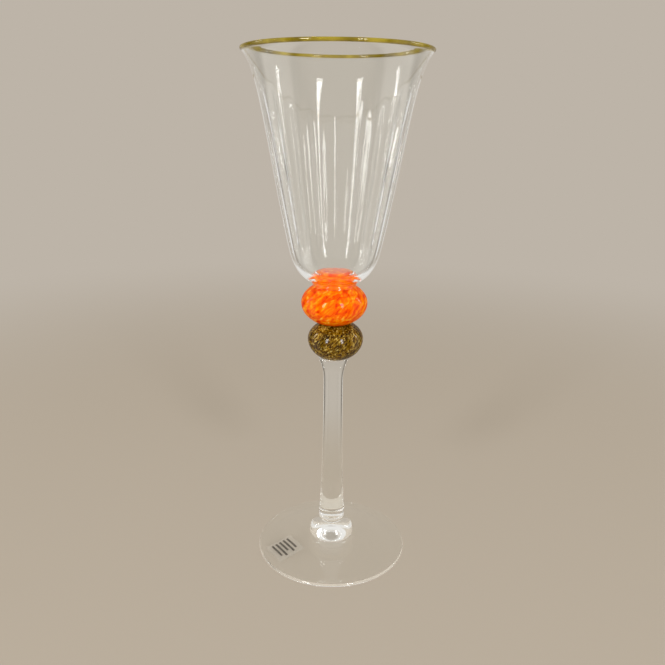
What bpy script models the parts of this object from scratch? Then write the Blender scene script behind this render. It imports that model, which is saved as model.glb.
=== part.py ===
"""A stemmed champagne flute with a flared, optic-ribbed bowl above two coloured beads.

On the real glass every piece is gathered, shaped hot and fused to the next one. Here each piece is
its own solid, turned about the Z axis and stacked upwards from the foot, with a small clearance at
every seam. Lengths are in metres and +Z is up. The origin is the middle of the foot's underside, on
the surface that the glass stands on.
"""

import math

import bmesh
import bpy
from mathutils import Matrix, Vector
from mathutils.geometry import interpolate_bezier

OBJECT_NAME = "champagne_flute"

# Gap that is left where two pieces are fused on the real glass
SEAM_CLEARANCE = 0.0003

# Foot: a shallow cone of clear glass with a fire-rounded edge and a hollow underside
FOOT_DIAMETER = 0.0780
FOOT_EDGE_THICKNESS = 0.0018
FOOT_HEIGHT = 0.0062
FOOT_SWEEP = 1.25
FOOT_REST_WIDTH = 0.0035
FOOT_HOLLOW_HEIGHT = 0.0030

# Button: the clear gather that joins the stem to the foot
BUTTON_DIAMETER = 0.0232
BUTTON_UPPER_HEIGHT = 0.0077
BUTTON_LOWER_HEIGHT = 0.0015
BUTTON_UNDERCUT = 0.0009

# Merese: the thin clear ring between the button and the stem
MERESE_SEAT_DIAMETER = 0.0122
MERESE_BULGE = 0.0006
MERESE_HEIGHT = 0.0016

# Stem: a drawn solid rod, narrowest near its top and swelling towards both ends
STEM_LENGTH = 0.0890
STEM_TOP_DIAMETER = 0.0148
STEM_LIP_TAPER = 0.0005
STEM_WAIST_DIAMETER = 0.0097
STEM_FLARE_LENGTH = 0.0119
STEM_BASE_BULGE = 0.0007
STEM_BASE_ROUNDING = 0.0019
STEM_WAIST_HANDLE = 0.0345
STEM_BASE_HANDLE = 0.0180
STEM_BASE_LEAN = math.radians(4.1)

# Olive bead: the smaller, transparent knop on top of the stem, set by hand a little off the axis
OLIVE_BEAD_DIAMETER = 0.0274
OLIVE_BEAD_UPPER_HEIGHT = 0.0080
OLIVE_BEAD_LOWER_HEIGHT = 0.0095
OLIVE_BEAD_OFFSET = 0.0008
BEAD_SEAM_DIAMETER = 0.0140

# Orange bead: the larger, mottled knop
ORANGE_BEAD_DIAMETER = 0.0323
ORANGE_BEAD_UPPER_HEIGHT = 0.0080
ORANGE_BEAD_LOWER_HEIGHT = 0.0101

# Neck: a core of orange glass that runs from the orange bead up into the bowl's base
NECK_HEIGHT = 0.0058
NECK_DIAMETER = 0.0138
NECK_FOOT_DIAMETER = 0.0190
NECK_FOOT_HEIGHT = 0.0026
NECK_ROUNDING = 0.0008
NECK_COVER = 0.0007

# Collar: the banded lower end of the bowl, which cases the neck in clear glass
COLLAR_LOWER_DIAMETER = 0.0206
COLLAR_UPPER_DIAMETER = 0.0222
COLLAR_HEIGHT = 0.0022
COLLAR_BANDS = 2
COLLAR_BAND_DEPTH = 0.0003

# Bowl: a low step over the neck, a rounded base, a straight wall and a flared lip
BOWL_HEIGHT = 0.1045
BOWL_STEP_DIAMETER = 0.0204
BOWL_STEP_WIDTH = 0.0032
BOWL_STEP_FOOT_HEIGHT = 0.0049
BOWL_WALL_THICKNESS = 0.0018
BOWL_LIP_THICKNESS = 0.0010
BOWL_SHOULDER_DIAMETER = 0.0460
BOWL_SHOULDER_HEIGHT = 0.0227
BOWL_RIM_DIAMETER = 0.0838
BASE_TILT = math.radians(21.7)
WALL_LEAN = math.radians(11.7)
LIP_FLARE = math.radians(48.0)

# Lengths of the handles that round the bowl's two curves
BASE_HANDLE = 0.0084
INNER_BASE_HANDLE = 0.0078
SHOULDER_HANDLE = 0.0091
INNER_SHOULDER_HANDLE = 0.0100
WALL_HANDLE = 0.0500
LIP_HANDLE = 0.0097

# Optic ribs: soft upright waves in the bowl's wall, fading out at the base and at the lip
RIB_COUNT = 24
RIB_DEPTH = 0.0004
RIB_START = 0.0102
RIB_BASE_FADE = 0.0240
RIB_LIP_FADE = 0.0280

# Lip wrap: one turn of coloured thread laid on the rim
LIP_WRAP_THREAD = 0.0018

# Label: a square of clear film on the upper side of the foot
LABEL_SIDE = 0.0150
LABEL_THICKNESS = 0.00015
LABEL_EDGE_DISTANCE = 0.0120
LABEL_AZIMUTH = math.radians(-154.5)
LABEL_TURN = math.radians(35.0)

# Number of facets and of points along the outlines
FACETS_PER_RIB = 4
ROUND_FACETS = 40
FOOT_FACETS = 64
THREAD_FACETS = 8
EDGE_POINTS = 4
BAND_POINTS = 4
QUARTER_POINTS = 4
CURVE_POINTS = 6
LABEL_CELLS = 6

# Where each piece starts, worked out upwards from the table, and two sizes that follow from others
BUTTON_BASE = FOOT_HEIGHT + SEAM_CLEARANCE
MERESE_BASE = BUTTON_BASE + BUTTON_LOWER_HEIGHT + BUTTON_UPPER_HEIGHT + SEAM_CLEARANCE
STEM_BASE = MERESE_BASE + MERESE_HEIGHT + SEAM_CLEARANCE
OLIVE_BEAD_BASE = STEM_BASE + STEM_LENGTH + SEAM_CLEARANCE
ORANGE_BEAD_BASE = OLIVE_BEAD_BASE + OLIVE_BEAD_LOWER_HEIGHT + OLIVE_BEAD_UPPER_HEIGHT + SEAM_CLEARANCE
BOWL_BASE = ORANGE_BEAD_BASE + ORANGE_BEAD_LOWER_HEIGHT + ORANGE_BEAD_UPPER_HEIGHT + SEAM_CLEARANCE
LIP_WRAP_CENTRE = BOWL_BASE + BOWL_HEIGHT + SEAM_CLEARANCE + LIP_WRAP_THREAD / 2
BUTTON_SEAT_DIAMETER = BUTTON_DIAMETER - 2 * BUTTON_UNDERCUT
LABEL_DISTANCE = FOOT_DIAMETER / 2 - LABEL_EDGE_DISTANCE


def clear_scene():
    """Start from an empty scene."""
    for thing in list(bpy.data.objects):
        bpy.data.objects.remove(thing, do_unlink=True)


def glass(name, colour, roughness, clearness):
    """Make a glass material: its colour, how polished it is and how much light goes through."""
    material = bpy.data.materials.new(name)
    material.use_nodes = True
    shader = material.node_tree.nodes["Principled BSDF"]
    shader.inputs["Base Color"].default_value = (*colour, 1.0)
    shader.inputs["Metallic"].default_value = 0.0
    shader.inputs["Roughness"].default_value = roughness
    shader.inputs["IOR"].default_value = 1.5
    shader.inputs["Transmission Weight"].default_value = clearness
    return material


def add_piece(name, mesh, material, base=0.0):
    """Put a mesh into the model as a named piece that stands at the given height."""
    piece = bpy.data.objects.new(name, mesh)
    mesh.materials.append(material)
    PIECES.objects.link(piece)
    piece.parent = AXIS
    piece.location.z = base
    return piece


def turned_piece(name, outline, material, base, facets):
    """Turn an outline of (radius, height) points, listed from the top down, about the Z axis."""
    mesh = bpy.data.meshes.new(name)
    points = [(radius, 0.0, height) for radius, height in outline]
    edges = [(index, index + 1) for index in range(len(points) - 1)]
    mesh.from_pydata(points, edges, [])
    piece = add_piece(name, mesh, material, base)
    turn = piece.modifiers.new("Turn", 'SCREW')
    turn.axis = 'Z'
    turn.angle = math.tau
    turn.steps = facets
    turn.render_steps = facets
    turn.use_merge_vertices = True
    turn.merge_threshold = 0.00001
    turn.use_smooth_shade = True
    return piece


def curve_points(start, start_handle, end_handle, end, count=CURVE_POINTS):
    """Points along one cubic curve in the plane of radius and height, both ends included."""
    corners = [Vector(corner) for corner in (start, start_handle, end_handle, end)]
    return [tuple(point) for point in interpolate_bezier(*corners, count)]


def bead_outline(diameter, upper_height, lower_height, upper_seat, lower_seat):
    """Outline of a bead: two elliptic quarters, cut flat where the bead meets its neighbours."""
    radius = diameter / 2
    upper_angle = math.acos(upper_seat / diameter)
    lower_angle = math.acos(lower_seat / diameter)
    upper_semi_axis = upper_height / math.sin(upper_angle)
    lower_semi_axis = lower_height / math.sin(lower_angle)
    outline = [(0.0, lower_height + upper_height)]
    for step in range(QUARTER_POINTS + 1):
        angle = upper_angle * (1 - step / QUARTER_POINTS)
        outline.append((radius * math.cos(angle), lower_height + upper_semi_axis * math.sin(angle)))
    for step in range(1, QUARTER_POINTS + 1):
        angle = lower_angle * step / QUARTER_POINTS
        outline.append((radius * math.cos(angle), lower_height - lower_semi_axis * math.sin(angle)))
    outline.append((0.0, 0.0))
    return outline


def foot_top_height(radius):
    """Height of the foot's upper surface at a distance from the axis."""
    outer = FOOT_DIAMETER / 2 - FOOT_EDGE_THICKNESS / 2
    inner = BUTTON_SEAT_DIAMETER / 2
    share = min(max((outer - radius) / (outer - inner), 0.0), 1.0)
    return FOOT_EDGE_THICKNESS + (FOOT_HEIGHT - FOOT_EDGE_THICKNESS) * share ** FOOT_SWEEP


def foot_outline():
    """Seat, swept top, round edge, flat rest ring and hollow underside."""
    edge_radius = FOOT_EDGE_THICKNESS / 2
    outer = FOOT_DIAMETER / 2 - edge_radius
    inner = BUTTON_SEAT_DIAMETER / 2
    rest_inner = outer - FOOT_REST_WIDTH
    outline = [(0.0, FOOT_HEIGHT)]
    for step in range(CURVE_POINTS):
        radius = inner + (outer - inner) * step / (CURVE_POINTS - 1)
        outline.append((radius, foot_top_height(radius)))
    for step in range(1, EDGE_POINTS + 1):
        angle = math.pi / 2 - math.pi * step / EDGE_POINTS
        outline.append((outer + edge_radius * math.cos(angle), edge_radius * (1 + math.sin(angle))))
    for step in range(CURVE_POINTS - 1):
        share = 1 - step / (CURVE_POINTS - 1)
        outline.append((rest_inner * share, FOOT_HOLLOW_HEIGHT * (1 - share ** 2)))
    outline.append((0.0, FOOT_HOLLOW_HEIGHT))
    return outline


def stem_outline():
    """Flared top under the bead, narrow waist, slow swell and rounded lower end."""
    top = STEM_TOP_DIAMETER / 2
    waist = STEM_WAIST_DIAMETER / 2
    seat = MERESE_SEAT_DIAMETER / 2
    base = seat + STEM_BASE_BULGE
    waist_height = STEM_LENGTH - STEM_FLARE_LENGTH
    draw_in = STEM_BASE_HANDLE * math.tan(STEM_BASE_LEAN)
    flare = curve_points((top, STEM_LENGTH),
                         (top - STEM_LIP_TAPER, STEM_LENGTH - STEM_FLARE_LENGTH * 0.25),
                         (waist, STEM_LENGTH - STEM_FLARE_LENGTH * 0.45),
                         (waist, waist_height))
    swell = curve_points((waist, waist_height),
                         (waist, waist_height - STEM_WAIST_HANDLE),
                         (base - draw_in, STEM_BASE_ROUNDING + STEM_BASE_HANDLE),
                         (base, STEM_BASE_ROUNDING))
    rounding = curve_points((base, STEM_BASE_ROUNDING),
                            (base, STEM_BASE_ROUNDING / 2),
                            (base, 0.0),
                            (seat, 0.0), EDGE_POINTS)
    return [(0.0, STEM_LENGTH)] + flare + swell[1:] + rounding[1:] + [(0.0, 0.0)]


def neck_side(margin=0.0):
    """The neck's top and side, from the top down; the margin grows it into the socket that takes it."""
    radius = NECK_DIAMETER / 2 + margin
    foot = NECK_FOOT_DIAMETER / 2 + margin
    top = NECK_HEIGHT + margin
    rounding = curve_points((radius - NECK_ROUNDING, top),
                            (radius - NECK_ROUNDING / 2, top),
                            (radius, top - NECK_ROUNDING / 2),
                            (radius, top - NECK_ROUNDING), EDGE_POINTS)
    flare = curve_points((radius, NECK_FOOT_HEIGHT),
                         (radius, NECK_FOOT_HEIGHT / 2),
                         ((radius + foot) / 2, NECK_FOOT_HEIGHT / 5),
                         (foot, 0.0), EDGE_POINTS)
    return [(0.0, top)] + rounding + flare


def collar_side():
    """The collar's outer side from its lower edge up, drawn in between its bands."""
    bottom = COLLAR_LOWER_DIAMETER / 2
    top = COLLAR_UPPER_DIAMETER / 2
    steps = COLLAR_BANDS * BAND_POINTS
    side = []
    for step in range(steps):
        share = step / steps
        draw_in = COLLAR_BAND_DEPTH * (1 - math.cos(math.tau * COLLAR_BANDS * share)) / 2
        side.append((bottom + (top - bottom) * share - draw_in, COLLAR_HEIGHT * share))
    return side


def bowl_wall(start, start_handle_length, shoulder_handle_length, inset):
    """One side of the bowl from its base to its rim, set in from the outer side by a wall."""
    sideways = Vector((math.cos(BASE_TILT), math.sin(BASE_TILT)))
    shoulder = Vector((BOWL_SHOULDER_DIAMETER / 2 - inset, BOWL_SHOULDER_HEIGHT))
    lip_inset = BOWL_LIP_THICKNESS * (inset / BOWL_WALL_THICKNESS - 0.5)
    rim = Vector((BOWL_RIM_DIAMETER / 2 - lip_inset, BOWL_HEIGHT))
    upright = Vector((math.sin(WALL_LEAN), math.cos(WALL_LEAN)))
    outward = Vector((math.sin(LIP_FLARE), math.cos(LIP_FLARE)))
    base = curve_points(start, Vector(start) + start_handle_length * sideways,
                        shoulder - shoulder_handle_length * upright, shoulder)
    flare = curve_points(shoulder, shoulder + WALL_HANDLE * upright, rim - LIP_HANDLE * outward, rim,
                         CURVE_POINTS + 2)
    return base + flare[1:]


def bowl_outline():
    """The bowl in section: socket, collar, outer side up to the rim, inner side down to the floor."""
    outer = bowl_wall((COLLAR_UPPER_DIAMETER / 2, COLLAR_HEIGHT), BASE_HANDLE, SHOULDER_HANDLE, 0.0)
    step_foot = (BOWL_STEP_DIAMETER / 2, BOWL_STEP_FOOT_HEIGHT)
    inner = bowl_wall(step_foot, INNER_BASE_HANDLE, INNER_SHOULDER_HANDLE, BOWL_WALL_THICKNESS)
    floor = NECK_HEIGHT + SEAM_CLEARANCE + NECK_COVER
    edge = BOWL_STEP_DIAMETER / 2 - BOWL_STEP_WIDTH
    bend = edge + 0.7 * BOWL_STEP_WIDTH
    step = curve_points((edge, floor), (bend, floor), (bend, BOWL_STEP_FOOT_HEIGHT), step_foot)
    inside = [(0.0, floor)] + step + inner[1:]
    return neck_side(SEAM_CLEARANCE) + collar_side() + outer + inside[::-1]


def fade(distance, length):
    """Smooth step from 0 at no distance to 1 at the full length."""
    share = min(max(distance / length, 0.0), 1.0)
    return share * share * (3 - 2 * share)


def bowl_mesh():
    """Spin the bowl's section, then press the optic ribs into both sides of its wall."""
    shape = bmesh.new()
    points = [shape.verts.new((radius, 0.0, height)) for radius, height in bowl_outline()]
    edges = [shape.edges.new(pair) for pair in zip(points, points[1:])]
    bmesh.ops.spin(shape, geom=points + edges, cent=(0, 0, 0), axis=(0, 0, 1), angle=math.tau,
                   steps=RIB_COUNT * FACETS_PER_RIB, use_merge=True)
    bmesh.ops.remove_doubles(shape, verts=shape.verts, dist=0.00001)
    bmesh.ops.recalc_face_normals(shape, faces=shape.faces)
    for point in shape.verts:
        radius = math.hypot(point.co.x, point.co.y)
        if radius < COLLAR_UPPER_DIAMETER / 2:
            continue
        above_base = fade(point.co.z - RIB_START, RIB_BASE_FADE)
        below_lip = fade(BOWL_HEIGHT - point.co.z, RIB_LIP_FADE)
        azimuth = math.atan2(point.co.y, point.co.x)
        wave = RIB_DEPTH / 2 * above_base * below_lip * math.cos(RIB_COUNT * azimuth)
        stretch = 1 + wave / radius
        point.co.x *= stretch
        point.co.y *= stretch
    mesh = bpy.data.meshes.new("bowl")
    shape.to_mesh(mesh)
    shape.free()
    mesh.shade_smooth()
    mesh.set_sharp_from_angle(angle=math.radians(50))
    return mesh


def lip_wrap_piece(material):
    """A ring of round thread that lies along the middle of the rim."""
    bpy.ops.mesh.primitive_torus_add(major_radius=BOWL_RIM_DIAMETER / 2,
                                     minor_radius=LIP_WRAP_THREAD / 2,
                                     major_segments=RIB_COUNT * FACETS_PER_RIB,
                                     minor_segments=THREAD_FACETS)
    ring = bpy.context.object
    mesh = ring.data
    mesh.name = "lip_wrap"
    mesh.shade_smooth()
    bpy.data.objects.remove(ring, do_unlink=True)
    return add_piece("lip_wrap", mesh, material, LIP_WRAP_CENTRE)


def label_piece(material):
    """A thin square of film that follows the slope of the foot."""
    middle = Vector((math.cos(LABEL_AZIMUTH), math.sin(LABEL_AZIMUTH))) * LABEL_DISTANCE
    shape = bmesh.new()
    bmesh.ops.create_grid(shape, x_segments=LABEL_CELLS, y_segments=LABEL_CELLS, size=LABEL_SIDE / 2)
    turn = Matrix.Rotation(LABEL_TURN, 2)
    for point in shape.verts:
        distance = (middle + turn @ point.co.xy).length
        point.co.z = foot_top_height(distance) + SEAM_CLEARANCE
    mesh = bpy.data.meshes.new("label_film")
    shape.to_mesh(mesh)
    shape.free()
    piece = add_piece("label_film", mesh, material)
    piece.location = (middle.x, middle.y, 0.0)
    piece.rotation_euler.z = LABEL_TURN
    film = piece.modifiers.new("Film", 'SOLIDIFY')
    film.thickness = LABEL_THICKNESS
    film.offset = 1.0
    return piece


clear_scene()
PIECES = bpy.data.collections.new(OBJECT_NAME)
bpy.context.scene.collection.children.link(PIECES)
AXIS = bpy.data.objects.new(OBJECT_NAME + "_axis", None)
PIECES.objects.link(AXIS)

clear_glass = glass("clear_glass", (0.95, 0.96, 0.95), 0.02, 1.0)
orange_glass = glass("mottled_orange_glass", (1.0, 0.13, 0.0), 0.05, 0.1)
olive_glass = glass("olive_glass", (0.10, 0.07, 0.01), 0.03, 0.6)
thread_glass = glass("olive_yellow_glass", (0.36, 0.29, 0.03), 0.03, 0.6)
film = glass("clear_film", (0.85, 0.85, 0.85), 0.3, 0.7)

turned_piece("foot", foot_outline(), clear_glass, 0.0, FOOT_FACETS)
turned_piece("foot_button",
             bead_outline(BUTTON_DIAMETER, BUTTON_UPPER_HEIGHT, BUTTON_LOWER_HEIGHT,
                          MERESE_SEAT_DIAMETER, BUTTON_SEAT_DIAMETER),
             clear_glass, BUTTON_BASE, ROUND_FACETS)
turned_piece("merese",
             bead_outline(MERESE_SEAT_DIAMETER + 2 * MERESE_BULGE, MERESE_HEIGHT / 2, MERESE_HEIGHT / 2,
                          MERESE_SEAT_DIAMETER, MERESE_SEAT_DIAMETER),
             clear_glass, MERESE_BASE, ROUND_FACETS)
turned_piece("stem", stem_outline(), clear_glass, STEM_BASE, ROUND_FACETS)
olive_bead = turned_piece("olive_bead",
                          bead_outline(OLIVE_BEAD_DIAMETER, OLIVE_BEAD_UPPER_HEIGHT,
                                       OLIVE_BEAD_LOWER_HEIGHT, BEAD_SEAM_DIAMETER, STEM_TOP_DIAMETER),
                          olive_glass, OLIVE_BEAD_BASE, ROUND_FACETS)
olive_bead.location.x = OLIVE_BEAD_OFFSET
turned_piece("orange_bead",
             bead_outline(ORANGE_BEAD_DIAMETER, ORANGE_BEAD_UPPER_HEIGHT, ORANGE_BEAD_LOWER_HEIGHT,
                          COLLAR_LOWER_DIAMETER, BEAD_SEAM_DIAMETER),
             orange_glass, ORANGE_BEAD_BASE, ROUND_FACETS)
turned_piece("orange_neck", neck_side() + [(0.0, 0.0)], orange_glass, BOWL_BASE, ROUND_FACETS)
add_piece("bowl", bowl_mesh(), clear_glass, BOWL_BASE)
lip_wrap_piece(thread_glass)
label_piece(film)

print("height over the lip wrap", round(LIP_WRAP_CENTRE + LIP_WRAP_THREAD / 2, 5))
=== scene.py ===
# %% [markdown]
# # A champagne flute in clear, orange and olive glass
# This lesson dresses a measured model of a handmade glass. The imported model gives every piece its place
# and size. Each piece is then turned again with a finer skin, and gets a glass that behaves like the
# real one: it bends light, mirrors the lamps and, in the beads, carries colour inside.

# %% Load the measured model
import math

import bmesh
import bpy
from mathutils import Matrix, Vector
from mathutils.geometry import interpolate_bezier


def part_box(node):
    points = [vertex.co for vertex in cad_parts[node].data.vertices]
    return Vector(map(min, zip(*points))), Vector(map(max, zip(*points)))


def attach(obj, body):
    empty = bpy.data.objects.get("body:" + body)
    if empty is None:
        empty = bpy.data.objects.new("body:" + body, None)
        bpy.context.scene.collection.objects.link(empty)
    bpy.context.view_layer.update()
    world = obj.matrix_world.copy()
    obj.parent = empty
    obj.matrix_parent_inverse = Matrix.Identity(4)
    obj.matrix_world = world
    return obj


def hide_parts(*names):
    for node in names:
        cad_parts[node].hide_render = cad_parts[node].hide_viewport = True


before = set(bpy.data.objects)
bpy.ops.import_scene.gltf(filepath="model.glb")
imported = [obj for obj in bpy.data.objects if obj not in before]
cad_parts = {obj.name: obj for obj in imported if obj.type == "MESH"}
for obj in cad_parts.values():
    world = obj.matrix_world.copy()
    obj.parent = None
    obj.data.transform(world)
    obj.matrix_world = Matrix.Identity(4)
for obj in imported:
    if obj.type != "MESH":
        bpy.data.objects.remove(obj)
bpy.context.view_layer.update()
print("pieces in the model:", sorted(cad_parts))

# %% [markdown]
# ## Small helpers
# Colours are written as sRGB hex values, the way a picture editor shows them, and one function turns
# them into the linear values that a renderer adds and multiplies. A second function adds a shader node,
# sets it up and joins it to others, so that a material reads as a short list of nodes.


# %% Colour and node helpers
def linear(code):
    """Turn an sRGB hex value such as FF8000 into linear red, green, blue and full alpha."""
    shares = [int(code[place:place + 2], 16) / 255 for place in (0, 2, 4)]
    curve = [share / 12.92 if share <= 0.04045 else ((share + 0.055) / 1.055) ** 2.4 for share in shares]
    return (*curve, 1.0)


def add_node(tree, kind, settings=None, **inputs):
    """Add a node, set its properties, and give each named input a value or a link."""
    node = tree.nodes.new(kind)
    for name, value in (settings or {}).items():
        setattr(node, name, value)
    for name, value in inputs.items():
        socket = node.inputs[int(name[1:])] if name[0] == "i" and name[1:].isdigit() else node.inputs[
            name.replace("_", " ")]
        if isinstance(value, bpy.types.NodeSocket):
            tree.links.new(value, socket)
        else:
            socket.default_value = value
    return node


def new_material(name):
    """An empty node material and its tree."""
    material = bpy.data.materials.new(name)
    material.use_nodes = True
    material.node_tree.nodes.clear()
    return material, material.node_tree


# %% [markdown]
# ## Camera
# The photograph's camera was found from the ellipses of the rim and the foot: it stands about 0.32 m in
# front of the stem, a little lower than the rim, and looks down by about 17 degrees with a slight roll.

# %% Place the camera
IMAGE_SIDE = 665
FOCAL_PIXELS = 675.2
CAMERA_PLACE = Vector((-0.0007, -0.3187, 0.2195))
CAMERA_PITCH = math.radians(17.41)
CAMERA_ROLL = math.radians(0.73)

lens = bpy.data.cameras.new("camera")
lens.sensor_fit = 'HORIZONTAL'
lens.sensor_width = 36.0
lens.lens = lens.sensor_width * FOCAL_PIXELS / IMAGE_SIDE
lens.clip_start = 0.01
camera = bpy.data.objects.new("camera", lens)
camera.matrix_world = (Matrix.Translation(CAMERA_PLACE)
                       @ Matrix.Rotation(math.pi / 2 - CAMERA_PITCH, 4, 'X')
                       @ Matrix.Rotation(CAMERA_ROLL, 4, 'Z'))
bpy.context.scene.collection.objects.link(camera)
bpy.context.scene.camera = camera
bpy.context.scene.view_settings.view_transform = 'Standard'
print("lens in millimetres", round(lens.lens, 2))

# %% [markdown]
# ## Floor and backdrop
# Clear glass shows only what lies round it. The camera sees a plain warm floor that melts into a plain
# backdrop. Against that alone the glass would have little edge, so rays that leave the glass see a dark card
# and then a bright one to each side, as a photographer would stand them there. The cards could be real
# planes, but a colour that follows the direction throws no shadow. Their tones are given.

# %% Build the floor and the backdrop
FLOOR_RADIUS = 6.0
FLOOR_COLOUR = linear("C2B9AC")
SIDE = "F4F0E8"
DARK_CARD = "524C46"
CARD_EDGE = "A0988C"
BACKDROP = "BDB4A8"
PALE_HALF_WIDTH = 0.10
FALL_OFF_WIDTH = 0.60
MELT_START = 0.20
MELT_END = 0.80
NEAR_MELT_START = 0.07
NEAR_MELT_END = 0.20

floor_shape = bmesh.new()
bmesh.ops.create_circle(floor_shape, cap_ends=True, radius=FLOOR_RADIUS, segments=96)
floor_mesh = bpy.data.meshes.new("floor")
floor_shape.to_mesh(floor_mesh)
floor_shape.free()
floor = bpy.data.objects.new("floor", floor_mesh)
bpy.context.scene.collection.objects.link(floor)


def sideways_share(tree, vector):
    """How far a direction points to the side: 0 straight ahead or behind, 1 at right angles."""
    parts = add_node(tree, "ShaderNodeSeparateXYZ", Vector=vector)
    flat = add_node(tree, "ShaderNodeCombineXYZ", X=parts.outputs["X"], Y=parts.outputs["Y"])
    unit = add_node(tree, "ShaderNodeVectorMath", {"operation": 'NORMALIZE'}, i0=flat.outputs[0])
    across = add_node(tree, "ShaderNodeSeparateXYZ", Vector=unit.outputs["Vector"])
    return add_node(tree, "ShaderNodeMath", {"operation": 'MULTIPLY'},
                    i0=across.outputs["X"], i1=across.outputs["X"]).outputs[0], parts


def ramp(tree, share, stops):
    """A colour ramp from (place, hex colour) pairs."""
    node = add_node(tree, "ShaderNodeValToRGB", Fac=share)
    band = node.color_ramp
    while len(band.elements) < len(stops):
        band.elements.new(1.0)
    for element, (position, code) in zip(band.elements, stops):
        element.position = position
        element.color = linear(code)
    return node.outputs["Color"]


def surround_colour(tree, share):
    """Plain for the camera; for rays from the glass a dark card and then a bright one to each side."""
    cards = ramp(tree, share, [(0.0, BACKDROP), (0.30, BACKDROP), (0.55, CARD_EDGE), (0.66, DARK_CARD),
                               (0.78, DARK_CARD), (0.88, SIDE)])
    camera_ray = add_node(tree, "ShaderNodeLightPath").outputs["Is Camera Ray"]
    return add_node(tree, "ShaderNodeMix", {"data_type": 'RGBA'}, i0=camera_ray, i6=cards,
                    i7=linear(BACKDROP)).outputs[2]


paper, paper_tree = new_material("pale_matt_paper")
place = add_node(paper_tree, "ShaderNodeTexCoord").outputs["Object"]
side_share, place_parts = sideways_share(paper_tree, place)
off_axis = add_node(paper_tree, "ShaderNodeMath", {"operation": 'ABSOLUTE'}, i0=place_parts.outputs["X"])
fall_off = add_node(paper_tree, "ShaderNodeMapRange", {"interpolation_type": 'SMOOTHSTEP'},
                    Value=off_axis.outputs[0], i1=PALE_HALF_WIDTH, i2=FALL_OFF_WIDTH)
camera_ray = add_node(paper_tree, "ShaderNodeLightPath").outputs["Is Camera Ray"]
pale_sides = add_node(paper_tree, "ShaderNodeMix", {"data_type": 'FLOAT'}, i0=camera_ray,
                      i2=fall_off.outputs[0], i3=0.0)
paper_colour = add_node(paper_tree, "ShaderNodeMix", {"data_type": 'RGBA'}, i0=pale_sides.outputs[0],
                        i6=FLOOR_COLOUR, i7=linear(SIDE))
matt = add_node(paper_tree, "ShaderNodeBsdfDiffuse", Color=paper_colour.outputs[2])
far_glow = add_node(paper_tree, "ShaderNodeEmission", Color=surround_colour(paper_tree, side_share))
distance = add_node(paper_tree, "ShaderNodeVectorMath", {"operation": 'LENGTH'}, i0=place)
far_melt = add_node(paper_tree, "ShaderNodeMapRange", {"interpolation_type": 'SMOOTHSTEP'},
                    Value=distance.outputs["Value"], i1=MELT_START, i2=MELT_END)
near_melt = add_node(paper_tree, "ShaderNodeMapRange", {"interpolation_type": 'SMOOTHSTEP'},
                     Value=distance.outputs["Value"], i1=NEAR_MELT_START, i2=NEAR_MELT_END)
melt = add_node(paper_tree, "ShaderNodeMix", {"data_type": 'FLOAT'}, i0=camera_ray,
                i2=near_melt.outputs[0], i3=far_melt.outputs[0])
paper_mix = add_node(paper_tree, "ShaderNodeMixShader", i0=melt.outputs[0], i1=matt.outputs[0],
                     i2=far_glow.outputs[0])
add_node(paper_tree, "ShaderNodeOutputMaterial", Surface=paper_mix.outputs[0])
floor_mesh.materials.append(paper)

# %% [markdown]
# ## World
# The world carries the backdrop on above the floor's far edge, under a slightly darker ceiling. A ray that
# was bent many times inside a wall is nearly lost. It gets a pale tone here, because the thick edges of real
# glass look bright. The backdrop counts one bounce more than a surface does.

# %% Build the world behind the floor
CEILING_COLOUR = linear("B0A89C")
CEILING_START = 0.25
CEILING_END = 0.80
TRAPPED_AFTER = 4.5
TRAPPED_COLOUR = linear("ECEAE6")

world = bpy.data.worlds.new("studio")
world.use_nodes = True
world.node_tree.nodes.clear()
tree = world.node_tree
direction = add_node(tree, "ShaderNodeTexCoord").outputs["Generated"]
side_share, direction_parts = sideways_share(tree, direction)
wall_colour = surround_colour(tree, side_share)
rise = add_node(tree, "ShaderNodeMapRange", {"interpolation_type": 'SMOOTHSTEP'},
                Value=direction_parts.outputs["Z"], i1=CEILING_START, i2=CEILING_END)
sky_colour = add_node(tree, "ShaderNodeMix", {"data_type": 'RGBA'}, i0=rise.outputs[0],
                      i6=wall_colour, i7=CEILING_COLOUR)
depth = add_node(tree, "ShaderNodeLightPath").outputs["Ray Depth"]
trapped = add_node(tree, "ShaderNodeMath", {"operation": 'GREATER_THAN'}, i0=depth, i1=TRAPPED_AFTER + 1)
seen_colour = add_node(tree, "ShaderNodeMix", {"data_type": 'RGBA'}, i0=trapped.outputs[0],
                       i6=sky_colour.outputs[2], i7=TRAPPED_COLOUR)
sky = add_node(tree, "ShaderNodeBackground", Color=seen_colour.outputs[2], Strength=1.0)
add_node(tree, "ShaderNodeOutputWorld", Surface=sky.outputs[0])
bpy.context.scene.world = world
print("backdrop ready")

# %% [markdown]
# ## Lamps
# The photograph's glints show two upright light sources behind the camera, one to each side. Two strip
# boxes stand there. Two weaker ones stand farther round and light the edges of the stem and the foot.

# %% Hang the lamps
LAMP_AIM = Vector((0.0, 0.0, 0.16))


def strip_box(name, azimuth, elevation, distance, width, height, watts):
    """An area lamp at an azimuth from the camera's side, facing the glass."""
    light = bpy.data.lights.new(name, 'AREA')
    light.shape = 'RECTANGLE'
    light.size = width
    light.size_y = height
    light.energy = watts
    lamp = bpy.data.objects.new(name, light)
    level = math.cos(math.radians(elevation)) * distance
    offset = Vector((math.sin(math.radians(azimuth)) * level, -math.cos(math.radians(azimuth)) * level,
                     math.sin(math.radians(elevation)) * distance))
    lamp.location = LAMP_AIM + offset
    lamp.rotation_euler = offset.to_track_quat('Z', 'Y').to_euler()
    lamp.visible_camera = False
    bpy.context.scene.collection.objects.link(lamp)
    return lamp


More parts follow.
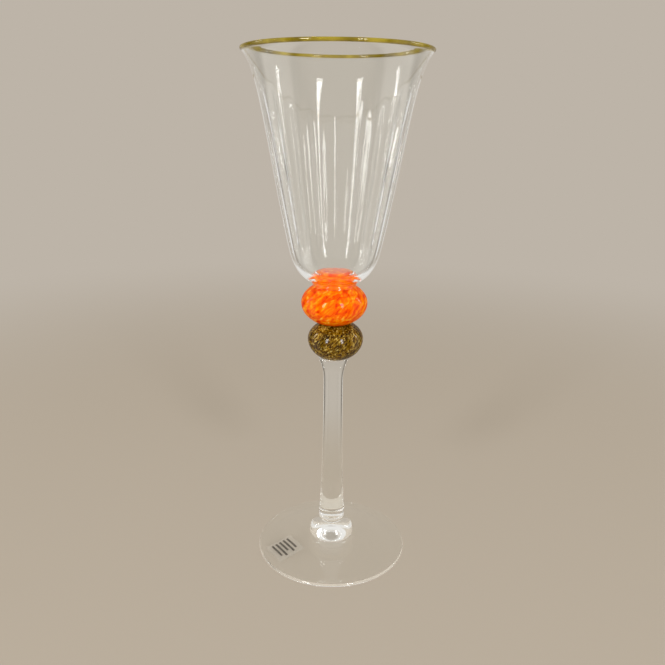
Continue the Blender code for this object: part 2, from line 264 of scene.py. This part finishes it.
strip_box("left_strip", -37, 21, 2.5, 0.40, 1.40, 30)
strip_box("right_strip", 28, 21, 2.5, 0.40, 1.40, 30)
strip_box("far_left_strip", -106, 22, 2.5, 0.10, 1.10, 5)
strip_box("far_right_strip", 104, 22, 2.5, 0.10, 1.10, 5)
print("lamps hung")

# %% [markdown]
# ## Clear glass
# The bowl, stem and foot are clear soda glass, polished by the flame. It has no grain: what the eye sees is
# bent background, bright streaks of the lamps and a faint ripple left by the tools. Lamp rays pass straight
# through, as a plain stand-in for the light that real glass bends to the floor. A ray is bent at five faces
# at most and then goes straight on, because a renderer would end it and leave black bands. Where two pieces
# are fused there is no surface at all, so the hidden end faces get a material that a ray doesn't notice.

# %% Mix the clear glass and the fused seam
RIPPLE_SIZE = 0.012
RIPPLE_HEIGHT = 0.00002


def let_lamps_through(tree, shader, tint):
    """Light that falls on the floor, or that is trapped in a wall, passes the glass with its tint."""
    path = add_node(tree, "ShaderNodeLightPath")
    clear = add_node(tree, "ShaderNodeBsdfTransparent", Color=tint)
    falling = add_node(tree, "ShaderNodeMath", {"operation": 'MAXIMUM'}, i0=path.outputs["Is Shadow Ray"],
                       i1=path.outputs["Is Diffuse Ray"])
    trapped = add_node(tree, "ShaderNodeMath", {"operation": 'GREATER_THAN'}, i0=path.outputs["Ray Depth"],
                       i1=TRAPPED_AFTER)
    passing = add_node(tree, "ShaderNodeMath", {"operation": 'MAXIMUM'}, i0=falling.outputs[0],
                       i1=trapped.outputs[0])
    mix = add_node(tree, "ShaderNodeMixShader", i0=passing.outputs[0], i1=shader.outputs[0],
                   i2=clear.outputs[0])
    return add_node(tree, "ShaderNodeOutputMaterial", Surface=mix.outputs[0])


def fire_polish(tree, size, height):
    """The soft unevenness of a flame-polished skin, as a bump of a real size and height."""
    place = add_node(tree, "ShaderNodeTexCoord").outputs["Object"]
    noise = add_node(tree, "ShaderNodeTexNoise", Vector=place, Scale=1 / size, Detail=1.0, Roughness=0.4)
    return add_node(tree, "ShaderNodeBump", Height=noise.outputs["Fac"], Distance=height, Strength=1.0)


# Flame-polished soda glass: no colour of its own, only bent background and sharp bright streaks.
clear_glass, tree = new_material("clear_soda_glass")
ripple = fire_polish(tree, RIPPLE_SIZE, RIPPLE_HEIGHT)
body = add_node(tree, "ShaderNodeBsdfPrincipled", Base_Color=linear("FDFEFD"), Roughness=0.0, IOR=1.5,
                Transmission_Weight=1.0, Normal=ripple.outputs[0])
let_lamps_through(tree, body, linear("FFFFFF"))

# Glass fused to glass: nothing for the eye at all.
fused_seam, tree = new_material("fused_seam")
through = add_node(tree, "ShaderNodeBsdfTransparent", Color=(1.0, 1.0, 1.0, 1.0))
add_node(tree, "ShaderNodeOutputMaterial", Surface=through.outputs[0])
print("clear glass mixed")

# %% [markdown]
# ## Mottled orange glass
# Chips of orange and red glass were rolled on to a hot gather and twisted, so the mottles are short slanting
# strokes a few millimetres long, under a glossy skin. The pattern is untwisted about the axis first, then
# stretched along it, which makes the strokes slant round the bead without any seam.

# %% Mix the orange glass
TWIST_PER_METRE = -50.0
STROKE_WIDTH = 0.0022
STROKE_STRETCH = 0.75
SPECK_SIZE = 0.0011
BEAD_RIPPLE_SIZE = 0.004
ORANGE_RIPPLE_HEIGHT = 0.00003


def twisted_place(tree, stretch):
    """Object coordinates, turned about the axis in step with height and stretched along it."""
    place = add_node(tree, "ShaderNodeTexCoord").outputs["Object"]
    height = add_node(tree, "ShaderNodeSeparateXYZ", Vector=place).outputs["Z"]
    angle = add_node(tree, "ShaderNodeMath", {"operation": 'MULTIPLY'}, i0=height, i1=TWIST_PER_METRE)
    turned = add_node(tree, "ShaderNodeVectorRotate", {"rotation_type": 'Z_AXIS'}, Vector=place,
                      Angle=angle.outputs[0])
    return add_node(tree, "ShaderNodeVectorMath", {"operation": 'MULTIPLY'}, i0=turned.outputs[0],
                    i1=(1.0, 1.0, stretch)).outputs[0]


# Opaque orange soda glass with rolled-in chips: red to yellow strokes under a thin glossy skin.
orange_glass, tree = new_material("mottled_orange_glass")
place = twisted_place(tree, STROKE_STRETCH)
strokes = add_node(tree, "ShaderNodeTexNoise", Vector=place, Scale=1 / STROKE_WIDTH, Detail=3.0,
                   Roughness=0.55, Distortion=0.6)
mottle = ramp(tree, strokes.outputs["Fac"],
              [(0.30, "DE2E00"), (0.42, "F45000"), (0.52, "FC7200"), (0.62, "FF9600"), (0.74, "FFC050")])
specks = add_node(tree, "ShaderNodeTexVoronoi", Vector=place, Scale=1 / SPECK_SIZE)
dark_speck = add_node(tree, "ShaderNodeMapRange", Value=specks.outputs["Distance"], i1=0.10, i2=0.22,
                      i3=0.35, i4=0.0)
speckled = add_node(tree, "ShaderNodeMix", {"data_type": 'RGBA'}, i0=dark_speck.outputs[0], i6=mottle,
                    i7=linear("B83200"))
skin = fire_polish(tree, BEAD_RIPPLE_SIZE, ORANGE_RIPPLE_HEIGHT)
body = add_node(tree, "ShaderNodeBsdfPrincipled", Base_Color=speckled.outputs[2], Roughness=0.12, IOR=1.5,
                Specular_IOR_Level=0.0, Coat_Weight=0.28, Coat_Roughness=0.02, Normal=skin.outputs[0])
add_node(tree, "ShaderNodeOutputMaterial", Surface=body.outputs[0])
print("orange strokes in millimetres", STROKE_WIDTH * 1000)

# %% [markdown]
# ## Olive glass with golden flecks
# The lower bead was rolled in crushed chips of brown, olive and gold glass, each about half a millimetre
# wide, and twisted like the upper one. The chips lie so close that hardly any light passes between them.
# Broad soft clouds make some places darker, as the chips don't lie evenly.

# %% Mix the olive glass
FLECK_SIZE = 0.0005
FLECK_TEAR = 0.0010
FLECK_STRETCH = 0.55
FLECK_SOFTNESS = 0.4
CLOUD_SIZE = 0.005
OLIVE_RIPPLE_HEIGHT = 0.00002

# Dark soda glass packed with chips: brown to gold flecks under a glossy skin.
olive_glass, tree = new_material("gold_flecked_olive_glass")
place = twisted_place(tree, FLECK_STRETCH)
torn = add_node(tree, "ShaderNodeTexNoise", Vector=place, Scale=1 / FLECK_SIZE, Detail=2.0)
ragged_place = add_node(tree, "ShaderNodeVectorMath", {"operation": 'MULTIPLY_ADD'},
                        i0=torn.outputs["Color"], i1=(FLECK_TEAR, FLECK_TEAR, FLECK_TEAR), i2=place)
cells = add_node(tree, "ShaderNodeTexVoronoi", {"feature": 'SMOOTH_F1'}, Vector=ragged_place.outputs[0],
                 Scale=1 / FLECK_SIZE, Smoothness=FLECK_SOFTNESS)
chip = add_node(tree, "ShaderNodeSeparateColor", Color=cells.outputs["Color"])
flecks = ramp(tree, chip.outputs[0],
              [(0.0, "221200"), (0.30, "563600"), (0.55, "7E5A04"), (0.78, "A27E1A"), (0.95, "D2B862")])
clouds = add_node(tree, "ShaderNodeTexNoise", Vector=place, Scale=1 / CLOUD_SIZE, Detail=2.0)
shade = add_node(tree, "ShaderNodeMapRange", Value=clouds.outputs["Fac"], i1=0.35, i2=0.65, i3=0.45, i4=1.0)
shaded = add_node(tree, "ShaderNodeMix", {"data_type": 'RGBA', "blend_type": 'MULTIPLY'}, i0=1.0,
                  i6=flecks, i7=shade.outputs[0])
skin = fire_polish(tree, BEAD_RIPPLE_SIZE, OLIVE_RIPPLE_HEIGHT)
body = add_node(tree, "ShaderNodeBsdfPrincipled", Base_Color=shaded.outputs[2], Roughness=0.12, IOR=1.5,
                Specular_IOR_Level=0.0, Coat_Weight=0.5, Coat_Roughness=0.02, Normal=skin.outputs[0])
add_node(tree, "ShaderNodeOutputMaterial", Surface=body.outputs[0])
print("olive flecks in millimetres", FLECK_SIZE * 1000)

# %% [markdown]
# ## Olive-yellow thread, film and bars
# The lip wrap is a thread of olive-yellow glass that lets some light through and is never one even colour.
# The label is a clear plastic film with a few plain dark bars. Film is thin, so a low alpha does for its
# glass-like look, and faint scuffs keep it from looking like a mirror.

# %% Mix the thread, the film and the bars
CORD_SIZE = 0.010
SCUFF_SIZE = 0.0015
WEAR_SIZE = 0.0008

# Olive-yellow soda glass, drawn into a thread: lighter and darker stretches with small glints.
thread_glass, tree = new_material("olive_yellow_thread_glass")
place = add_node(tree, "ShaderNodeTexCoord").outputs["Object"]
cords = add_node(tree, "ShaderNodeTexNoise", Vector=place, Scale=1 / CORD_SIZE, Detail=3.0)
thread_colour = ramp(tree, cords.outputs["Fac"], [(0.3, "7E6C08"), (0.5, "B09C20"), (0.7, "E0CE50")])
body = add_node(tree, "ShaderNodeBsdfPrincipled", Base_Color=thread_colour, Roughness=0.03, IOR=1.5,
                Transmission_Weight=0.7)
let_lamps_through(tree, body, linear("B9AE60"))

# Clear polypropylene film: a pale veil over the glass, dulled by scuffs.
clear_film, tree = new_material("clear_label_film")
place = add_node(tree, "ShaderNodeTexCoord").outputs["Object"]
scuffs = add_node(tree, "ShaderNodeTexNoise", Vector=place, Scale=1 / SCUFF_SIZE, Detail=2.0)
dullness = add_node(tree, "ShaderNodeMapRange", Value=scuffs.outputs["Fac"], i3=0.15, i4=0.40)
body = add_node(tree, "ShaderNodeBsdfPrincipled", Base_Color=linear("E6E3DC"), Roughness=dullness.outputs[0],
                Alpha=0.16)
add_node(tree, "ShaderNodeOutputMaterial", Surface=body.outputs[0])

# Grey ink on film: matt, with worn lighter spots.
bar_ink, tree = new_material("grey_label_ink")
place = add_node(tree, "ShaderNodeTexCoord").outputs["Object"]
worn = add_node(tree, "ShaderNodeTexNoise", Vector=place, Scale=1 / WEAR_SIZE, Detail=2.0)
ink_colour = ramp(tree, worn.outputs["Fac"], [(0.3, "2E2A26"), (0.7, "5A544C")])
body = add_node(tree, "ShaderNodeBsdfPrincipled", Base_Color=ink_colour, Roughness=0.5, Alpha=0.8)
add_node(tree, "ShaderNodeOutputMaterial", Surface=body.outputs[0])
print("coloured glass mixed")

# %% [markdown]
# ## Turning a piece
# Glass is shaped while it turns, so every piece here starts as a half outline that is spun about the stem.
# Each piece is carried half-way across the small seam gap of the measured model, so that it touches its
# neighbour as fused glass does. Flat end faces that lie in such a seam get the seam material.

# %% The lathe
SPIN_STEPS = 128
SHARP_ANGLE = math.radians(40)
TOUCHING = 1e-6
SEAM = {}


def seam_between(lower, upper):
    """Height of the fused seam between two pieces of the measured model."""
    return (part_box(lower)[1].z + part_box(upper)[0].z) / 2


def spin_outline(outline, steps):
    """Spin (radius, height) points about the Z axis into a closed bmesh with its faces outwards."""
    shape = bmesh.new()
    points = [shape.verts.new((radius, 0.0, height)) for radius, height in outline]
    edges = [shape.edges.new(pair) for pair in zip(points, points[1:])]
    bmesh.ops.spin(shape, geom=points + edges, cent=(0, 0, 0), axis=(0, 0, 1), angle=math.tau,
                   steps=steps, use_merge=True)
    bmesh.ops.remove_doubles(shape, verts=shape.verts, dist=TOUCHING)
    bmesh.ops.recalc_face_normals(shape, faces=shape.faces)
    return shape


def finish_piece(name, shape, materials, node, seams=()):
    """Make the mesh an object that rides with the glass and stands for its node."""
    for face in shape.faces:
        face.smooth = True
        for height in seams:
            if all(abs(corner.co.z - height) < TOUCHING for corner in face.verts):
                face.material_index = 1
                face.smooth = False
    mesh = bpy.data.meshes.new(name)
    shape.to_mesh(mesh)
    shape.free()
    mesh.set_sharp_from_angle(angle=SHARP_ANGLE)
    for material in materials:
        mesh.materials.append(material)
    piece = bpy.data.objects.new(name, mesh)
    bpy.context.scene.collection.objects.link(piece)
    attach(piece, "root")
    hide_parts(node)
    print(name, "has", len(mesh.polygons), "faces")
    return piece


def curve(start, start_handle, end_handle, end, count=14):
    """Points along a cubic curve of (radius, height), both ends included."""
    corners = [Vector(corner) for corner in (start, start_handle, end_handle, end)]
    return [tuple(point) for point in interpolate_bezier(*corners, count)]


def bead(radius, low, middle, high, low_seat, high_seat, count=18):
    """A bead's outline from its top seat to its bottom seat: two elliptic quarters, cut flat."""
    high_angle = math.acos(high_seat / radius)
    low_angle = math.acos(low_seat / radius)
    upper = (high - middle) / math.sin(high_angle)
    lower = (middle - low) / math.sin(low_angle)
    outline = [(0.0, high)]
    for step in range(count + 1):
        angle = high_angle * (1 - step / count)
        outline.append((radius * math.cos(angle), middle + upper * math.sin(angle)))
    for step in range(1, count + 1):
        angle = low_angle * step / count
        outline.append((radius * math.cos(angle), middle - lower * math.sin(angle)))
    outline.append((0.0, low))
    return outline


ORDER = ["foot", "foot_button", "merese", "stem", "olive_bead", "orange_bead", "bowl"]
for lower_piece, upper_piece in zip(ORDER, ORDER[1:]):
    SEAM[upper_piece] = seam_between(lower_piece, upper_piece)
print("seam heights", {name: round(height, 5) for name, height in SEAM.items()})

# %% [markdown]
# ## Foot, button and merese
# The foot is spread from a hot gather into a shallow cone, so its top falls in a faint sweep to a round edge
# and its underside is hollow, resting on a flat ring. The button is the dome left where the stem was stuck
# on, and the merese is a thin ring above it.

# %% Turn the foot, the button and the merese
BUTTON_SEAT_RADIUS = 0.0107
BUTTON_LOWER_HEIGHT = 0.0015
MERESE_SEAT_RADIUS = 0.0061
FOOT_EDGE = 0.0018
FOOT_SWEEP = 1.25
FOOT_REST_WIDTH = 0.0035
FOOT_HOLLOW = 0.0030
FOOT_LIFT = 0.00003
FOOT_POINTS = 24
EDGE_POINTS = 12

FOOT_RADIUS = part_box("foot")[1].x
FOOT_TOP = SEAM["foot_button"]


def foot_top_height(radius):
    """Height of the foot's upper side at a distance from the stem's axis."""
    outer = FOOT_RADIUS - FOOT_EDGE / 2
    share = min(max((outer - radius) / (outer - BUTTON_SEAT_RADIUS), 0.0), 1.0)
    return FOOT_EDGE + (FOOT_TOP - FOOT_EDGE) * share ** FOOT_SWEEP


def foot_outline():
    """Seat, sweep, round edge, rest ring and hollow."""
    outer = FOOT_RADIUS - FOOT_EDGE / 2
    rest = outer - FOOT_REST_WIDTH
    outline = [(0.0, FOOT_TOP)]
    for step in range(FOOT_POINTS + 1):
        radius = BUTTON_SEAT_RADIUS + (outer - BUTTON_SEAT_RADIUS) * step / FOOT_POINTS
        outline.append((radius, foot_top_height(radius)))
    for step in range(1, EDGE_POINTS + 1):
        angle = math.pi / 2 - math.pi * step / EDGE_POINTS
        outline.append((outer + FOOT_EDGE / 2 * math.cos(angle),
                        max(FOOT_EDGE / 2 * (1 + math.sin(angle)), FOOT_LIFT)))
    for step in range(FOOT_POINTS):
        share = 1 - step / FOOT_POINTS
        outline.append((rest * share, max(FOOT_HOLLOW * (1 - share ** 2), FOOT_LIFT)))
    outline.append((0.0, FOOT_HOLLOW))
    return outline


clear = [clear_glass, fused_seam]
finish_piece("foot_disc", spin_outline(foot_outline(), SPIN_STEPS), clear, "foot",
             [SEAM["foot_button"]])
button_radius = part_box("foot_button")[1].x
button_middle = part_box("foot_button")[0].z + BUTTON_LOWER_HEIGHT
finish_piece("foot_dome",
             spin_outline(bead(button_radius, SEAM["foot_button"], button_middle, SEAM["merese"],
                               BUTTON_SEAT_RADIUS, MERESE_SEAT_RADIUS), SPIN_STEPS),
             clear, "foot_button", [SEAM["foot_button"], SEAM["merese"]])
merese_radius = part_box("merese")[1].x
merese_middle = (SEAM["merese"] + SEAM["stem"]) / 2
finish_piece("stem_ring",
             spin_outline(bead(merese_radius, SEAM["merese"], merese_middle, SEAM["stem"],
                               MERESE_SEAT_RADIUS, MERESE_SEAT_RADIUS, 8), SPIN_STEPS),
             clear, "merese", [SEAM["merese"], SEAM["stem"]])

# %% [markdown]
# ## Stem
# The stem was pulled from a soft gather, so it is thinnest near its top and swells slowly to its rounded
# lower end. At the top it flares into a soft lip, with a narrow ledge between the lip and the olive bead.

# %% Turn the stem
STEM_WAIST_RADIUS = 0.00485
STEM_LIP_TAPER = 0.0005
STEM_FLARE_LENGTH = 0.0119
STEM_ROUNDING = 0.0019
STEM_WAIST_HANDLE = 0.0345
STEM_BASE_HANDLE = 0.018
STEM_BASE_LEAN = math.radians(4.1)
STEM_BASE_BULGE = 0.0007
STEM_LEDGE = 0.0010
STEM_LIP_ROUNDING = 0.0004
FLARE_UPPER_HANDLE = 0.25 * STEM_FLARE_LENGTH
FLARE_LOWER_HANDLE = 0.45 * STEM_FLARE_LENGTH


def stem_outline():
    """Flared top, waist, slow swell and rounded end."""
    top_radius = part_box("stem")[1].x
    top = SEAM["olive_bead"]
    bottom = SEAM["stem"]
    base_radius = MERESE_SEAT_RADIUS + STEM_BASE_BULGE
    waist_height = top - STEM_FLARE_LENGTH
    rounding = bottom + STEM_ROUNDING
    flare = curve((top_radius, top), (top_radius - STEM_LIP_TAPER, top - FLARE_UPPER_HANDLE),
                  (STEM_WAIST_RADIUS, top - FLARE_LOWER_HANDLE), (STEM_WAIST_RADIUS, waist_height), 20)
    swell = curve((STEM_WAIST_RADIUS, waist_height), (STEM_WAIST_RADIUS, waist_height - STEM_WAIST_HANDLE),
                  (base_radius - STEM_BASE_HANDLE * math.tan(STEM_BASE_LEAN), rounding + STEM_BASE_HANDLE),
                  (base_radius, rounding), 40)
    end = curve((base_radius, rounding), (base_radius, rounding - STEM_ROUNDING / 2),
                (base_radius, bottom), (MERESE_SEAT_RADIUS, bottom), 12)
    ledge = [(0.0, top), (top_radius - STEM_LEDGE, top)]
    lip = curve((top_radius - STEM_LEDGE / 2, top - STEM_LIP_ROUNDING / 4), (top_radius, top),
                (top_radius, top - STEM_LIP_ROUNDING), (top_radius, top - STEM_LIP_ROUNDING), 8)
    return ledge + lip + flare[1:] + swell[1:] + end[1:] + [(0.0, bottom)]


finish_piece("stem_rod", spin_outline(stem_outline(), SPIN_STEPS), clear, "stem",
             [SEAM["olive_bead"], SEAM["stem"]])

# %% [markdown]
# ## The two beads
# Each bead was pressed while hot, so it is an ellipse that is cut flat at its seats. The olive bead stands on
# a slightly smaller seat than the stem's lip, so that a narrow ledge of clear glass shows below it.

# %% Turn the beads
BEAD_SEAM_RADIUS = 0.0070
OLIVE_LOWER_HEIGHT = 0.0095
ORANGE_LOWER_HEIGHT = 0.0101
COLLAR_LOWER_RADIUS = 0.0103
OLIVE_SEAT_RADIUS = 0.0066

olive_low, olive_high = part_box("olive_bead")
olive_radius = (olive_high.x - olive_low.x) / 2
olive_shift = Vector(((olive_high.x + olive_low.x) / 2, 0.0, 0.0))
olive_middle = olive_low.z + OLIVE_LOWER_HEIGHT
olive_shape = spin_outline(bead(olive_radius, SEAM["olive_bead"], olive_middle, SEAM["orange_bead"],
                                OLIVE_SEAT_RADIUS, BEAD_SEAM_RADIUS, 28), SPIN_STEPS)
bmesh.ops.translate(olive_shape, verts=olive_shape.verts, vec=olive_shift)
finish_piece("olive_knop", olive_shape, [olive_glass], "olive_bead")
print("olive bead off the axis by", round(olive_shift.x, 5))

orange_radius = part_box("orange_bead")[1].x
orange_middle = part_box("orange_bead")[0].z + ORANGE_LOWER_HEIGHT
finish_piece("orange_knop",
             spin_outline(bead(orange_radius, SEAM["orange_bead"], orange_middle, SEAM["bowl"],
                               BEAD_SEAM_RADIUS, COLLAR_LOWER_RADIUS, 28), SPIN_STEPS),
             [orange_glass], "orange_bead")

# %% [markdown]
# ## Neck
# A core of the same orange glass runs from the bead up into the bowl's clear base. It is narrower than it
# looks: the clear glass round it works as a lens and spreads its colour nearly to the edge. The core is
# turned a hair smaller than its socket, so that the two skins never lie in the same place.

# %% Turn the neck
NECK_RADIUS = 0.0069
NECK_FOOT_RADIUS = 0.0100
NECK_FOOT_HEIGHT = 0.0026
NECK_ROUNDING = 0.0008
HAIR = 0.00003

bowl_base = SEAM["bowl"]
half_gap = bowl_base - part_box("orange_bead")[1].z
neck_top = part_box("orange_neck")[1].z + half_gap


def neck_side(margin):
    """The neck's top and flared side from the top down, shrunk by a margin."""
    radius = NECK_RADIUS - margin
    foot = NECK_FOOT_RADIUS - margin
    top = neck_top - margin
    edge = curve((radius - NECK_ROUNDING, top), (radius - NECK_ROUNDING / 2, top),
                 (radius, top - NECK_ROUNDING / 2), (radius, top - NECK_ROUNDING), 8)
    flare = curve((radius, bowl_base + NECK_FOOT_HEIGHT), (radius, bowl_base + NECK_FOOT_HEIGHT / 2),
                  ((radius + foot) / 2, bowl_base + NECK_FOOT_HEIGHT / 5), (foot, bowl_base), 12)
    return [(0.0, top)] + edge + flare


finish_piece("neck_core", spin_outline(neck_side(HAIR) + [(0.0, bowl_base)], SPIN_STEPS), [orange_glass],
             "orange_neck")

# %% [markdown]
# ## Bowl
# The bowl was blown into a ribbed mould and then blown on, which leaves soft upright waves in its wall. Its
# lower end is a clear collar with two faint bands that cases the neck, its floor has a low step over the
# neck, and its lip thins and flares. The section runs from the socket round the outside and back down inside.

# %% Draw the bowl's section
COLLAR_UPPER_RADIUS = 0.0111
COLLAR_HEIGHT = 0.0022
COLLAR_BANDS = 2
COLLAR_BAND_DEPTH = 0.0003
COLLAR_STEPS = 32
BOWL_FLOOR = 0.0068
STEP_RADIUS = 0.0102
STEP_WIDTH = 0.0032
STEP_FOOT = 0.0049
STEP_BEND = 0.3 * STEP_WIDTH
BOWL_WALL = 0.0018
LIP_WALL = 0.0010
LIP_RISE = 0.0006
SHOULDER_RADIUS = 0.0230
SHOULDER_HEIGHT = 0.0227
RIM_RADIUS = 0.0419
BASE_TILT = math.radians(21.7)
WALL_LEAN = math.radians(11.7)
LIP_FLARE = math.radians(48.0)
BASE_HANDLE = 0.0084
INNER_BASE_HANDLE = 0.0078
SHOULDER_HANDLE = 0.0091
INNER_SHOULDER_HANDLE = 0.0100
WALL_HANDLE = 0.0500
LIP_HANDLE = 0.0097

bowl_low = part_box("bowl")[0].z
bowl_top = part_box("bowl")[1].z + LIP_RISE


def collar_side():
    """The collar's outer side from its lower edge up, drawn in between its bands."""
    height = bowl_low + COLLAR_HEIGHT - bowl_base
    side = []
    for step in range(COLLAR_STEPS):
        share = step / COLLAR_STEPS
        draw_in = COLLAR_BAND_DEPTH * (1 - math.cos(math.tau * COLLAR_BANDS * share)) / 2
        radius = COLLAR_LOWER_RADIUS + (COLLAR_UPPER_RADIUS - COLLAR_LOWER_RADIUS) * share - draw_in
        side.append((radius, bowl_base + height * share))
    return side


def bowl_side(start, start_handle, shoulder_handle, wall, lip):
    """One side of the bowl from its base to its rim, set in by a wall and by the lip's thinner wall."""
    shoulder = Vector((SHOULDER_RADIUS - wall, bowl_low + SHOULDER_HEIGHT))
    rim = Vector((RIM_RADIUS + LIP_WALL / 2 - lip, bowl_top))
    sideways = Vector((math.cos(BASE_TILT), math.sin(BASE_TILT)))
    upright = Vector((math.sin(WALL_LEAN), math.cos(WALL_LEAN)))
    outward = Vector((math.sin(LIP_FLARE), math.cos(LIP_FLARE)))
    base = curve(start, Vector(start) + start_handle * sideways,
                 shoulder - shoulder_handle * upright, shoulder, 26)
    side = curve(shoulder, shoulder + WALL_HANDLE * upright, rim - LIP_HANDLE * outward, rim, 40)
    return base + side[1:]


def bowl_outline():
    """Socket, collar, outer side up to the rim, inner side down to the step and the floor."""
    outer = bowl_side((COLLAR_UPPER_RADIUS, bowl_low + COLLAR_HEIGHT), BASE_HANDLE, SHOULDER_HANDLE, 0.0, 0.0)
    foot = (STEP_RADIUS, bowl_low + STEP_FOOT)
    inner = bowl_side(foot, INNER_BASE_HANDLE, INNER_SHOULDER_HANDLE, BOWL_WALL, LIP_WALL)
    floor_height = bowl_low + BOWL_FLOOR
    bend = STEP_RADIUS - STEP_BEND
    step = curve((STEP_RADIUS - STEP_WIDTH, floor_height), (bend, floor_height), (bend, foot[1]), foot, 12)
    inside = [(0.0, floor_height)] + step + inner[1:]
    return neck_side(0.0) + collar_side() + outer + inside[::-1]


bowl_points = bowl_outline()
print("points in the bowl's section:", len(bowl_points))

# %% [markdown]
# ## Optic ribs
# The waves of the mould push both sides of the wall in and out together, and fade towards the base and the
# lip, where the glass was worked longest. They are deeper inside than outside. Their number and depths are
# guessed, and were set so that the lamps draw streaks like those on the real bowl.

# %% Spin the bowl and press in its ribs
RIB_COUNT = 24
STEPS_PER_RIB = 12
OUTER_RIB_DEPTH = 0.0002
INNER_RIB_DEPTH = 0.0005
RIB_START = 0.010
RIB_BASE_FADE = 0.024
RIB_LIP_START = 0.007
RIB_LIP_FADE = 0.030


def fade(distance, length):
    """Smooth step from 0 to 1 over a length."""
    share = min(max(distance / length, 0.0), 1.0)
    return share * share * (3 - 2 * share)


def press_ribs(shape):
    """Push the wall in and out by the optic waves, which fade at the base and at the lip."""
    shape.normal_update()
    shape.verts.index_update()
    inside = {corner.index for corner in shape.verts if corner.normal.xy.dot(corner.co.xy) < 0}
    for corner in shape.verts:
        radius = corner.co.xy.length
        if radius < COLLAR_UPPER_RADIUS:
            continue
        strength = fade(corner.co.z - bowl_low - RIB_START, RIB_BASE_FADE)
        strength *= fade(bowl_top - corner.co.z - RIB_LIP_START, RIB_LIP_FADE)
        azimuth = math.atan2(corner.co.y, corner.co.x)
        depth = INNER_RIB_DEPTH if corner.index in inside else OUTER_RIB_DEPTH
        stretch = 1 + depth / 2 * strength * math.cos(RIB_COUNT * azimuth) / radius
        corner.co.x *= stretch
        corner.co.y *= stretch


bowl_shape = spin_outline(bowl_points, RIB_COUNT * STEPS_PER_RIB)
press_ribs(bowl_shape)
for face in bowl_shape.faces:
    if all(corner.co.xy.length < NECK_FOOT_RADIUS + TOUCHING and corner.co.z < neck_top + TOUCHING
           for corner in face.verts):
        face.material_index = 1
finish_piece("ribbed_bowl", bowl_shape, clear, "bowl", [bowl_base, bowl_top])

# %% [markdown]
# ## Lip wrap
# While the bowl turned, a thread of olive-yellow glass was laid once round its rim. A hand-laid thread is
# never quite even, so its thickness changes slowly round the rim.

# %% Lay the thread on the rim
THREAD_SIDES = 20
THREAD_STEPS = 192
THREAD_UNEVENNESS = 0.07
SLOW_SHARE = 0.6
QUICK_SHARE = 0.4
SLOW_WAVES = 2
QUICK_WAVES = 5
SLOW_START = 1.0

thread_low, thread_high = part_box("lip_wrap")
thread_radius = (thread_high.z - thread_low.z) / 2
thread_height = (thread_high.z + thread_low.z) / 2
ring_radius = thread_high.x - thread_radius

thread = bmesh.new()
bmesh.ops.create_circle(thread, cap_ends=False, radius=thread_radius, segments=THREAD_SIDES,
                        matrix=Matrix.Translation((ring_radius, 0.0, thread_height))
                        @ Matrix.Rotation(math.pi / 2, 4, 'X'))
bmesh.ops.spin(thread, geom=thread.verts[:] + thread.edges[:], cent=(0, 0, 0), axis=(0, 0, 1),
               angle=math.tau, steps=THREAD_STEPS, use_merge=True)
bmesh.ops.remove_doubles(thread, verts=thread.verts, dist=TOUCHING)
bmesh.ops.recalc_face_normals(thread, faces=thread.faces)
for corner in thread.verts:
    azimuth = math.atan2(corner.co.y, corner.co.x)
    middle = Vector((math.cos(azimuth) * ring_radius, math.sin(azimuth) * ring_radius, thread_height))
    slow = SLOW_SHARE * math.sin(SLOW_WAVES * azimuth + SLOW_START)
    quick = QUICK_SHARE * math.sin(QUICK_WAVES * azimuth)
    swell = 1 + THREAD_UNEVENNESS * (slow + quick - 1.0)
    corner.co = middle + (corner.co - middle) * swell
finish_piece("rim_thread", thread, [thread_glass], "lip_wrap")

# %% [markdown]
# ## Label
# A small square of clear film lies on the foot and carries plain dark bars of uneven length. It is a fine
# grid that is laid on the foot's sweep, and the bars are cells of the grid with their own ink.

# %% Lay the film and mark its bars
LABEL_SIDE = 0.0150
LABEL_CELLS = 40
LABEL_TURN = math.radians(35.0)
LABEL_LIFT = 0.00008
BAR_ROWS = ((6, 4, 30), (12, 4, 34), (18, 4, 27), (24, 4, 35), (30, 4, 31))
BAR_HEIGHT = 3

label_low, label_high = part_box("label_film")
label_middle = (label_low + label_high) / 2
film_shape = bmesh.new()
bmesh.ops.create_grid(film_shape, x_segments=LABEL_CELLS, y_segments=LABEL_CELLS, size=LABEL_SIDE / 2)
for face in film_shape.faces:
    centre = face.calc_center_median()
    column = int((0.5 - centre.y / LABEL_SIDE) * LABEL_CELLS)
    row = int((0.5 - centre.x / LABEL_SIDE) * LABEL_CELLS)
    for top, first, last in BAR_ROWS:
        if top <= row < top + BAR_HEIGHT and first <= column < last:
            face.material_index = 1
bmesh.ops.rotate(film_shape, verts=film_shape.verts, cent=(0, 0, 0),
                 matrix=Matrix.Rotation(LABEL_TURN, 3, 'Z'))
for corner in film_shape.verts:
    corner.co.x += label_middle.x
    corner.co.y += label_middle.y
    corner.co.z = foot_top_height(corner.co.xy.length) + LABEL_LIFT
finish_piece("foot_label", film_shape, [clear_film, bar_ink], "label_film")
